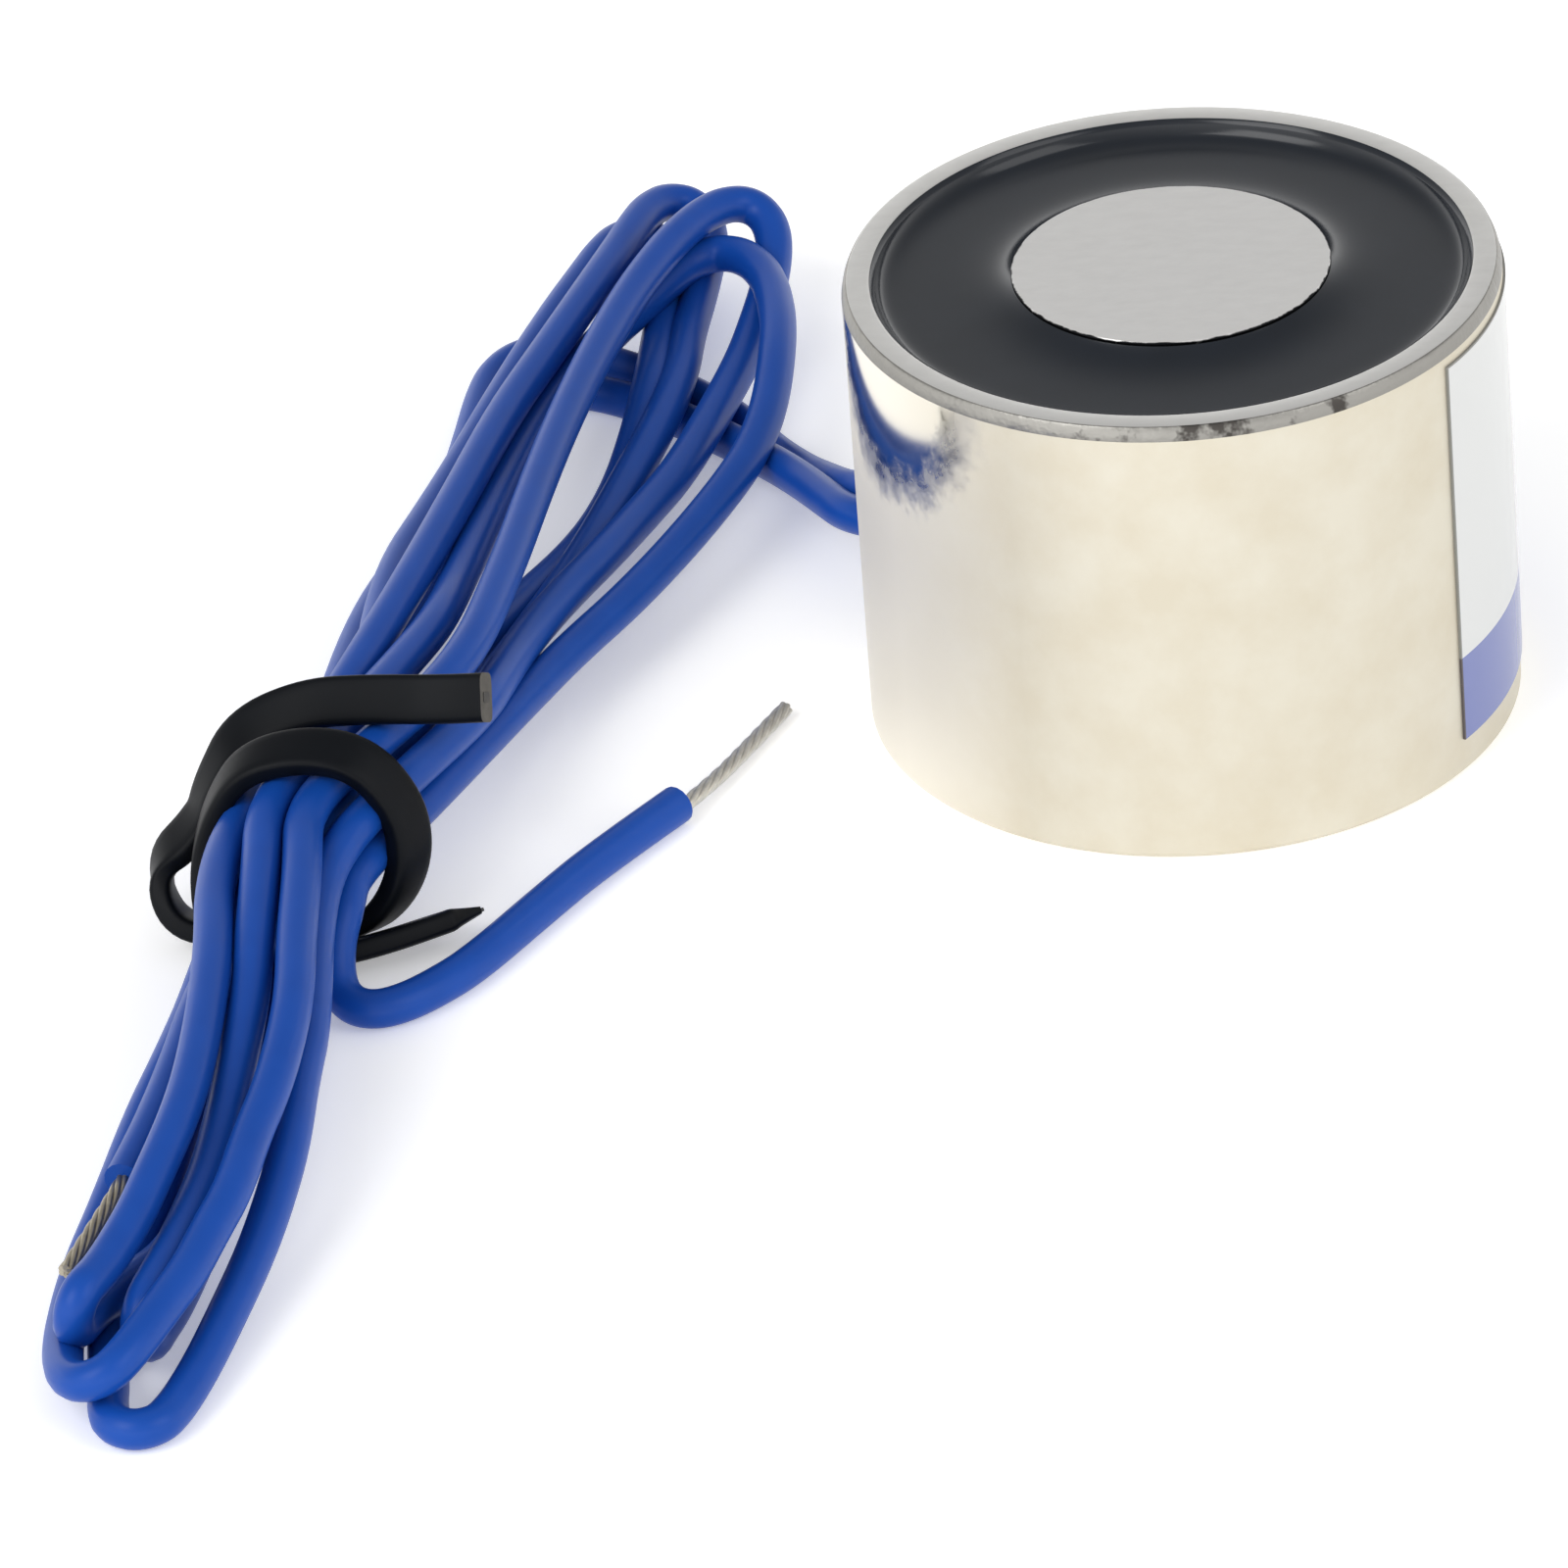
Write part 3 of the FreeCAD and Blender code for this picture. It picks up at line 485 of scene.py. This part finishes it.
thread_outline = []
for groove in range(int((THREAD_DEPTH - MOUTH_CHAMFER) / THREAD_PITCH)):
    crest = THREAD_DEPTH - groove * THREAD_PITCH
    thread_outline.append((THREAD_RADIUS - THREAD_GROOVE, crest))
    thread_outline.append((THREAD_RADIUS, crest - THREAD_PITCH / 2))
core = turned("core_pole", [(0, THREAD_DEPTH + DRILL_POINT)] + thread_outline + [
    (THREAD_RADIUS, MOUTH_CHAMFER), (THREAD_RADIUS + MOUTH_CHAMFER, 0), (SPIGOT_RADIUS, 0),
    (SPIGOT_RADIUS, CORE_FOOT), (CORE_RADIUS, CORE_FOOT), (CORE_RADIUS, CUP_HEIGHT - CORE_CHAMFER),
    (CORE_RADIUS - CORE_CHAMFER, CUP_HEIGHT), (0, CUP_HEIGHT)])
shade_smooth(core)

# Resin: a trough between core and rim that climbs both of them, poured round the bobbin and its tape
RESIN_FLOOR = 14.38
CORE_CLIMB = 0.55
RIM_CLIMB = 0.18
RESIN_POINTS = 28
RESIN_SMOOTH_BELOW = 40
# Its thin lip on the rim's bevel: how far it reaches out, how far its top and its edge lie below the rim,
# and how far its foot lies below the bevel
LIP_REACH = 0.13
LIP_TOP = 0.01
LIP_EDGE = 0.04
LIP_FOOT = 0.02

trough = []
for step in range(RESIN_POINTS + 1):
    radius = CORE_RADIUS + (BORE_RADIUS - CORE_RADIUS) * (1 - math.cos(math.pi * step / RESIN_POINTS)) / 2
    core_rise = math.exp((CORE_RADIUS - radius) / CORE_CLIMB)
    rim_rise = math.exp((radius - BORE_RADIUS) / RIM_CLIMB)
    trough.append((radius, RESIN_FLOOR + (RESIN_EDGE - RESIN_FLOOR) * (core_rise + rim_rise)))
resin = turned("resin_fill", trough + [
    (BORE_RADIUS + LIP_REACH, CUP_HEIGHT - LIP_TOP), (BORE_RADIUS + LIP_REACH, CUP_HEIGHT - LIP_EDGE),
    (BORE_RADIUS, CUP_HEIGHT - RIM_BEVEL - LIP_FOOT), (BORE_RADIUS, CORE_FOOT),
    (BOBBIN_RADIUS, CORE_FOOT), (BOBBIN_RADIUS, TAPE_LOW), (TAPE_RADIUS, TAPE_LOW),
    (TAPE_RADIUS, TAPE_HIGH), (BOBBIN_RADIUS, TAPE_HIGH), (BOBBIN_RADIUS, BOBBIN_TOP),
    (CORE_RADIUS, BOBBIN_TOP), (CORE_RADIUS, RESIN_EDGE)])
shade_smooth(resin, RESIN_SMOOTH_BELOW)

# Label: one thin sheet round the right side of the wall
LABEL_THICKNESS = 0.08
LABEL_START = math.radians(-39)
LABEL_SWEEP = math.radians(140)
LABEL_STEPS = 112
LABEL_RADIUS = CUP_RADIUS + LABEL_THICKNESS

label = turned("label_sheet", [
    (CUP_RADIUS, LABEL_LOW), (LABEL_RADIUS, LABEL_LOW), (LABEL_RADIUS, LABEL_HIGH),
    (CUP_RADIUS, LABEL_HIGH), (CUP_RADIUS, LABEL_LOW)], LABEL_START, LABEL_SWEEP, LABEL_STEPS)
shade_smooth(label)


def linear(code):
    """The linear colour of an sRGB hex code."""
    parts = [int(code[i:i + 2], 16) / 255 for i in (1, 3, 5)]
    return (*(p / 12.92 if p <= 0.04045 else ((p + 0.055) / 1.055) ** 2.4 for p in parts), 1)


def per_mm(size):
    """Pattern scale for details of this size in millimetres."""
    return 1 / (size * MM)


# Sockets of a Mix node for colours: its share, its two colours and the mixed one
SHARE = 0
FIRST = 6
SECOND = 7
MIXED = 2


def add_node(tree, kind, inputs=(), **settings):
    """Add a node with its settings; an input is a value, or the socket that it links from."""
    node = tree.nodes.new("ShaderNode" + kind)
    for setting, value in settings.items():
        setattr(node, setting, value)
    for socket, value in dict(inputs).items():
        if isinstance(value, bpy.types.NodeSocket):
            tree.links.new(value, node.inputs[socket])
        else:
            node.inputs[socket].default_value = value
    return node


def start_finish(name, **sockets):
    """A new material with one shader, and where its patterns are read from."""
    material = bpy.data.materials.new(name)
    material.use_nodes = True
    tree = material.node_tree
    shader = tree.nodes["Principled BSDF"]
    for socket, value in sockets.items():
        shader.inputs[socket.replace("_", " ")].default_value = value
    place = add_node(tree, "TexCoord").outputs["Object"]
    return material, tree, shader, place


# Nickel plate: the middle of its clear patch, how far from there the mirror and then all clearness end,
# how ragged that is, and where on the wall's left the painted reflection of the white floor starts and is
# full
CLEAR_PATCH = (-9.0, -4.2, 14.6)
CLEAR_REACH = 4.2
HAZE_REACH = 6.0
PATCH_RAGGED = 2.4
REFLECTION_PAINT_FROM = -5.5
REFLECTION_PAINT_TO = -9.0


def nickel_plate():
    # Bright nickel on turned steel: a warm, hazy sheen, a painted reflection paling its left, one clear
    # mirrored patch
    material, tree, shader, place = start_finish("bright nickel plate on turned steel", Metallic=1)
    clouds = add_node(tree, "TexNoise",
                      {"Vector": place, "Scale": per_mm(2.5), "Detail": 5, "Roughness": 0.6})
    blotches = add_node(tree, "MapRange",
                        {"Value": clouds.outputs["Fac"], "From Min": 0.35, "From Max": 0.65})
    tint = add_node(tree, "Mix", {SHARE: blotches.outputs["Result"], FIRST: linear("#D6D1C3"),
                                  SECOND: linear("#D1CAB9")}, data_type="RGBA")
    # Painted reflection: the base colour turns paler towards the wall's left, as if it mirrored the white
    # floor
    parts = add_node(tree, "SeparateXYZ", {"Vector": place})
    side = add_node(tree, "MapRange", {"Value": parts.outputs["X"], "From Min": REFLECTION_PAINT_FROM * MM,
                                       "From Max": REFLECTION_PAINT_TO * MM})
    painted_reflection = add_node(tree, "Mix", {SHARE: side.outputs["Result"], FIRST: tint.outputs[MIXED],
                                  SECOND: linear("#F1ECE0")}, data_type="RGBA")
    from_patch = add_node(tree, "VectorMath", {0: place, 1: Vector(CLEAR_PATCH) * MM}, operation="DISTANCE")
    grain = add_node(tree, "TexNoise",
                     {"Vector": place, "Scale": per_mm(0.7), "Detail": 6, "Roughness": 0.7})
    ragged = add_node(tree, "Math", {0: grain.outputs["Fac"], 1: PATCH_RAGGED * MM,
                                     2: from_patch.outputs["Value"]}, operation="MULTIPLY_ADD")
    haze = add_node(tree, "MapRange", {"Value": ragged.outputs[0], "From Min": CLEAR_REACH * MM,
                                       "From Max": HAZE_REACH * MM, "To Min": 0.1, "To Max": 0.6})
    tree.links.new(painted_reflection.outputs[MIXED], shader.inputs["Base Color"])
    tree.links.new(haze.outputs["Result"], shader.inputs["Roughness"])
    return material


# Worn edge: the knocks gather towards the front
KNOCKS_FROM = -5
KNOCKS_TO = -9


def worn_edge():
    # The cup's top edge, knocked and worn: grey plate with small dents, dark where it is chipped
    material, tree, shader, place = start_finish("worn plated edge", Metallic=1)
    dents = add_node(tree, "TexNoise",
                     {"Vector": place, "Scale": per_mm(1.4), "Detail": 4, "Roughness": 0.65})
    parts = add_node(tree, "SeparateXYZ", {"Vector": place})
    front = add_node(tree, "MapRange", {"Value": parts.outputs["Y"], "From Min": KNOCKS_FROM * MM,
                                        "From Max": KNOCKS_TO * MM})
    knocks = add_node(tree, "Math", {0: front.outputs["Result"], 1: dents.outputs["Fac"]},
                      operation="MULTIPLY")
    chips = add_node(tree, "MapRange", {"Value": knocks.outputs[0], "From Min": 0.5, "From Max": 0.59})
    tint = add_node(tree, "Mix", {SHARE: chips.outputs["Result"], FIRST: linear("#918F8A"),
                                  SECOND: linear("#4A4744")}, data_type="RGBA")
    bump = add_node(tree, "Bump", {"Height": dents.outputs["Fac"], "Strength": 0.35, "Distance": 0.25 * MM})
    rough = add_node(tree, "MapRange", {"Value": dents.outputs["Fac"], "To Min": 0.25, "To Max": 0.5})
    tree.links.new(tint.outputs[MIXED], shader.inputs["Base Color"])
    tree.links.new(rough.outputs["Result"], shader.inputs["Roughness"])
    tree.links.new(bump.outputs["Normal"], shader.inputs["Normal"])
    return material


# Ground steel: the turn and stretch of its streaks, how ragged the painted shade of the gap round the core
# lies on its edge, and how far past the given radius that shade starts and is full
STREAK_TURN = (0, 0, math.radians(25))
STREAK_STRETCH = (1, 2, 1)
GAP_SHADE_RAGGED = 0.14
GAP_SHADE_START = 0.06
GAP_SHADE_FULL = 0.09


def ground_steel(name, colour, streak_colour, shade_from_radius=None):
    # Ground steel: a flat, dull grey, faintly mottled, and black with painted shade of the gap past a given
    # radius
    material, tree, shader, place = start_finish(name, Metallic=1)
    stretched = add_node(tree, "Mapping", {"Vector": place, "Rotation": STREAK_TURN,
                                           "Scale": STREAK_STRETCH})
    scratches = add_node(tree, "TexNoise", {"Vector": stretched.outputs["Vector"], "Scale": per_mm(0.8),
                                            "Detail": 5, "Roughness": 0.6})
    tint = add_node(tree, "Mix", {SHARE: scratches.outputs["Fac"], FIRST: linear(colour),
                                  SECOND: linear(streak_colour)}, data_type="RGBA")
    rough = add_node(tree, "MapRange", {"Value": scratches.outputs["Fac"], "To Min": 0.32, "To Max": 0.48})
    shade = tint.outputs[MIXED]
    # Painted shade: a ragged black ring on the edge, standing in for the shadowed gap round the core
    if shade_from_radius:
        level = add_node(tree, "VectorMath", {0: place, 1: (1, 1, 0)}, operation="MULTIPLY")
        radius = add_node(tree, "VectorMath", {0: level.outputs["Vector"]}, operation="LENGTH")
        ragged = add_node(tree, "Math", {0: scratches.outputs["Fac"], 1: GAP_SHADE_RAGGED * MM,
                                         2: radius.outputs["Value"]}, operation="MULTIPLY_ADD")
        gap_shade = add_node(tree, "MapRange", {"Value": ragged.outputs[0],
                                            "From Min": (shade_from_radius + GAP_SHADE_START) * MM,
                                            "From Max": (shade_from_radius + GAP_SHADE_FULL) * MM})
        shade = add_node(tree, "Mix", {SHARE: gap_shade.outputs["Result"], FIRST: shade,
                                       SECOND: linear("#1A1B1D")}, data_type="RGBA").outputs[MIXED]
    tree.links.new(shade, shader.inputs["Base Color"])
    tree.links.new(rough.outputs["Result"], shader.inputs["Roughness"])
    return material


def plain_finish(name, colours, spot, rough, **sockets):
    # One even surface whose colour and gloss drift a little over spots of the given size
    material, tree, shader, place = start_finish(name, **sockets)
    drift = add_node(tree, "TexNoise", {"Vector": place, "Scale": per_mm(spot), "Detail": 3})
    tint = add_node(tree, "Mix", {SHARE: drift.outputs["Fac"], FIRST: linear(colours[0]),
                                  SECOND: linear(colours[1])}, data_type="RGBA")
    gloss = add_node(tree, "MapRange",
                     {"Value": drift.outputs["Fac"], "To Min": rough[0], "To Max": rough[1]})
    tree.links.new(tint.outputs[MIXED], shader.inputs["Base Color"])
    tree.links.new(gloss.outputs["Result"], shader.inputs["Roughness"])
    return material


# Label: the top of its printed band, and the width of the dark line along its edges
BAND_TOP = 4.1
EDGE_LINE = 0.06


def label_paper():
    # Coated label paper, satin white, printed with a plain blue band, with a thin dark line along its side
    # and top edges
    material, tree, shader, place = start_finish("coated label paper, printed", Roughness=0.16, IOR=1.5)
    parts = add_node(tree, "SeparateXYZ", {"Vector": place})
    band = add_node(tree, "Math", {0: parts.outputs["Z"], 1: BAND_TOP * MM}, operation="LESS_THAN")
    angle = add_node(tree, "Math", {0: parts.outputs["Y"], 1: parts.outputs["X"]}, operation="ARCTAN2")
    side_line = add_node(tree, "Math", {0: angle.outputs[0], 1: LABEL_START + EDGE_LINE / CUP_RADIUS},
                         operation="LESS_THAN")
    top_line = add_node(tree, "Math", {0: parts.outputs["Z"], 1: (LABEL_HIGH - EDGE_LINE) * MM},
                        operation="GREATER_THAN")
    edge = add_node(tree, "Math", {0: side_line.outputs[0], 1: top_line.outputs[0]}, operation="MAXIMUM")
    field = add_node(tree, "Mix", {SHARE: band.outputs[0], FIRST: linear("#C9CAC9"),
                                   SECOND: linear("#6A73A6")}, data_type="RGBA")
    line = add_node(tree, "Mix", {SHARE: band.outputs[0], FIRST: linear("#7C7C78"),
                                  SECOND: linear("#4A4448")}, data_type="RGBA")
    lined = add_node(tree, "Mix", {SHARE: edge.outputs[0], FIRST: field.outputs[MIXED],
                                   SECOND: line.outputs[MIXED]}, data_type="RGBA")
    tree.links.new(lined.outputs[MIXED], shader.inputs["Base Color"])
    return material


finishes = {
    "nickel_plate": nickel_plate(),
    "worn_edge": worn_edge(),
    "label_paper": label_paper(),
    "rim": ground_steel("ground rim of plated steel", "#EAE9E6", "#DAD9D6"),
    # Pole face, with a ring of painted shade at its edge for the gap round it
    "ground_steel": ground_steel("ground steel pole face", "#ECEBE9", "#DFDEDC",
                                 shade_from_radius=CORE_RADIUS - CORE_CHAMFER),
    # Cast resin: near black, a little blue, with soft reflections on its slopes
    "black_resin": plain_finish("black epoxy potting resin, cast", ("#10151C", "#151B24"), spot=1.5,
                                rough=(0.14, 0.22), IOR=1.42),
    # Lead insulation: deep blue with a satin sheen along each strand
    "blue_pvc": plain_finish("blue PVC lead insulation, extruded", ("#0F4297", "#1348A1"), spot=1.2,
                             rough=(0.3, 0.42), IOR=1.28),
    # Clean bare strands: light grey metal, unevenly tinned
    "tinned_copper": plain_finish("tinned copper strands", ("#D6D5D1", "#A6A4A0"), spot=0.25,
                                  rough=(0.3, 0.5), Metallic=1),
    # Lead B's bare strands: brownish with tarnish, and darker with painted shade of the strands round them
    "tarnished_shaded_copper": plain_finish("tinned copper strands, tarnished, with painted shade", ("#C2BAA8", "#8E8675"), spot=0.3,
                                rough=(0.35, 0.55), Metallic=1),
    # Tie: black with a faint sheen
    "tie_plastic": plain_finish("black PVC tie, extruded", ("#07090D", "#0B0E13"), spot=0.8,
                                rough=(0.38, 0.5), IOR=1.21),
    # The tie's cut end: a dull, uneven grey
    "tie_cut": plain_finish("black PVC, cut and scuffed", ("#5A5753", "#403E3B"), spot=0.3,
                            rough=(0.5, 0.7), IOR=1.4),
    # The tie's wire: a small dot of dark grey metal in that end
    "tie_steel": plain_finish("drawn steel wire", ("#5A5A5C", "#48484A"), spot=0.3,
                              rough=(0.35, 0.5), Metallic=1),
    # Bobbin: milky, off-white plastic
    "nylon": plain_finish("natural nylon, moulded", ("#E9E6DC", "#E1DDD0"), spot=2,
                          rough=(0.4, 0.5), IOR=1.53),
    # Winding: warm, glossy copper
    "enamelled_copper": plain_finish("enamelled copper wire", ("#B5622F", "#A5552A"), spot=0.4,
                                     rough=(0.25, 0.35), Metallic=1),
    # Tape: glossy yellow film
    "polyester_tape": plain_finish("yellow polyester tape", ("#DDBE4A", "#D3B23F"), spot=2,
                                   rough=(0.25, 0.35), IOR=1.6),
    # Grommet: dull black
    "black_rubber": plain_finish("black rubber, moulded", ("#1C1C1C", "#242424"), spot=0.5,
                                 rough=(0.6, 0.75), IOR=1.52),
    # Splices: bright grey joints
    "solder": plain_finish("soft solder, set bright", ("#C9C9C6", "#B9B9B6"), spot=0.4,
                           rough=(0.25, 0.4), Metallic=1),
    # Sleeves over the splices: satin black
    "sleeving": plain_finish("black heat-shrink sleeving", ("#202022", "#29292B"), spot=0.8,
                             rough=(0.45, 0.55), IOR=1.5),
}

# The rim's flat top is ground, its edge is worn, and the rest of the cup is plated
PLATED = 0
GROUND = 1
WORN = 2
FLAT_FROM = 0.9
for slot in ("nickel_plate", "rim", "worn_edge"):
    cup.data.materials.append(finishes[slot])
for face in cup.data.polygons:
    height = face.center.z / MM
    from_axis = face.center.xy.length / MM
    face.material_index = PLATED
    if height > CUP_HEIGHT - WORN_EDGE_DEPTH and from_axis > BORE_RADIUS + RIM_BEVEL / 2:
        face.material_index = GROUND if face.normal.z > FLAT_FROM else WORN

# Lead B's bare end is tarnished and darkened with painted shade, and the tie's upper end, its last face but
# one, is a scuffed cut
tip_b.data.materials.append(finishes["tarnished_shaded_copper"])
tie_strip.data.materials.append(finishes["tie_plastic"])
tie_strip.data.materials.append(finishes["tie_cut"])
tie_strip.data.polygons[-2].material_index = 1

DRESSED = [
    (cup, "nickel_plate", ["cup"]),
    (core, "ground_steel", ["core"]),
    (resin, "black_resin", ["potting_resin"]),
    (label, "label_paper", ["rating_label"]),
    (lead_a, "blue_pvc", ["lead_a_run", "lead_hank", "lead_a_tail"]),
    (lead_b, "blue_pvc", ["lead_b_run"]),
    (tip_a, "tinned_copper", ["lead_a_tip"]),
    (tip_b, "tinned_copper", ["lead_b_tip"]),
    (tie_strip, "tie_plastic", ["twist_tie_sheath"]),
    (tie_wire, "tie_steel", ["twist_tie_wire"]),
]
for piece, slot, nodes in DRESSED:
    if len(piece.data.materials) == 0:
        piece.data.materials.append(finishes[slot])
    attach(piece, "root")
    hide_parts(*nodes)

# Solids that stay as they are
KEPT = {
    "bobbin": "nylon",
    "coil_winding": "enamelled_copper",
    "coil_tape": "polyester_tape",
    "lead_grommet": "black_rubber",
    "splice_a": "solder",
    "splice_b": "solder",
    "splice_sleeve_a": "sleeving",
    "splice_sleeve_b": "sleeving",
}
for node, slot in KEPT.items():
    solid = bpy.data.objects[node]
    for material_slot in solid.material_slots:
        material_slot.material = finishes[slot]

# Floor: a white table that glows a little
FLOOR_SIZE = 4
bpy.ops.object.select_all(action="DESELECT")
bpy.ops.mesh.primitive_plane_add(size=FLOOR_SIZE)
floor = bpy.context.object
floor.name = "floor"
table = start_finish("white table, lit from below", Base_Color=linear("#F7F7F7"), Roughness=0.9,
                     Emission_Color=(1, 1, 1, 1), Emission_Strength=0.29)[0]
floor.data.materials.append(table)

# Sky: white at the horizon, dimmer overhead so that dark surfaces stay dark, and brightest on its key side
SKY_LEAST = 0.5
SKY_GLOW = 1.6
SKY_FADE = 4
SKY_KEY = 0.9
KEY_SIDE = (-0.5, -0.866, 0)
KEY_FADE = 2
world = bpy.data.worlds.new("sky")
world.use_nodes = True
sky = world.node_tree
sky_way = add_node(sky, "TexCoord").outputs["Generated"]
sky_parts = add_node(sky, "SeparateXYZ", {"Vector": sky_way})
from_top = add_node(sky, "Math", {0: 1.0, 1: sky_parts.outputs["Z"]}, operation="SUBTRACT", use_clamp=True)
glow = add_node(sky, "Math", {0: from_top.outputs[0], 1: SKY_FADE}, operation="POWER")
even = add_node(sky, "Math", {0: glow.outputs[0], 1: SKY_GLOW, 2: SKY_LEAST}, operation="MULTIPLY_ADD")
facing = add_node(sky, "VectorMath", {0: sky_way, 1: KEY_SIDE}, operation="DOT_PRODUCT")
towards = add_node(sky, "Math", {0: facing.outputs["Value"], 1: 0.0}, operation="MAXIMUM")
key = add_node(sky, "Math", {0: towards.outputs[0], 1: KEY_FADE}, operation="POWER")
strength = add_node(sky, "Math", {0: key.outputs[0], 1: SKY_KEY, 2: even.outputs[0]},
                    operation="MULTIPLY_ADD")
sky.nodes["Background"].inputs["Color"].default_value = (1, 1, 1, 1)
sky.links.new(strength.outputs[0], sky.nodes["Background"].inputs["Strength"])
bpy.context.scene.world = world
bpy.context.scene.view_settings.view_transform = "Standard"

# Softboxes, left and right of the camera: place, size across in metres, and power in watts
SOFTBOXES = [((-0.4, -0.35, 0.5), 0.4, 1.7), ((0.45, -0.3, 0.42), 0.4, 0.95)]
SOFTBOX_AIM = Vector((-0.01, 0, 0))
for place, across, power in SOFTBOXES:
    bpy.ops.object.light_add(type="AREA", location=place)
    softbox = bpy.context.object
    softbox.rotation_euler = (SOFTBOX_AIM - Vector(place)).to_track_quat("-Z", "Y").to_euler()
    softbox.data.size = across
    softbox.data.energy = power
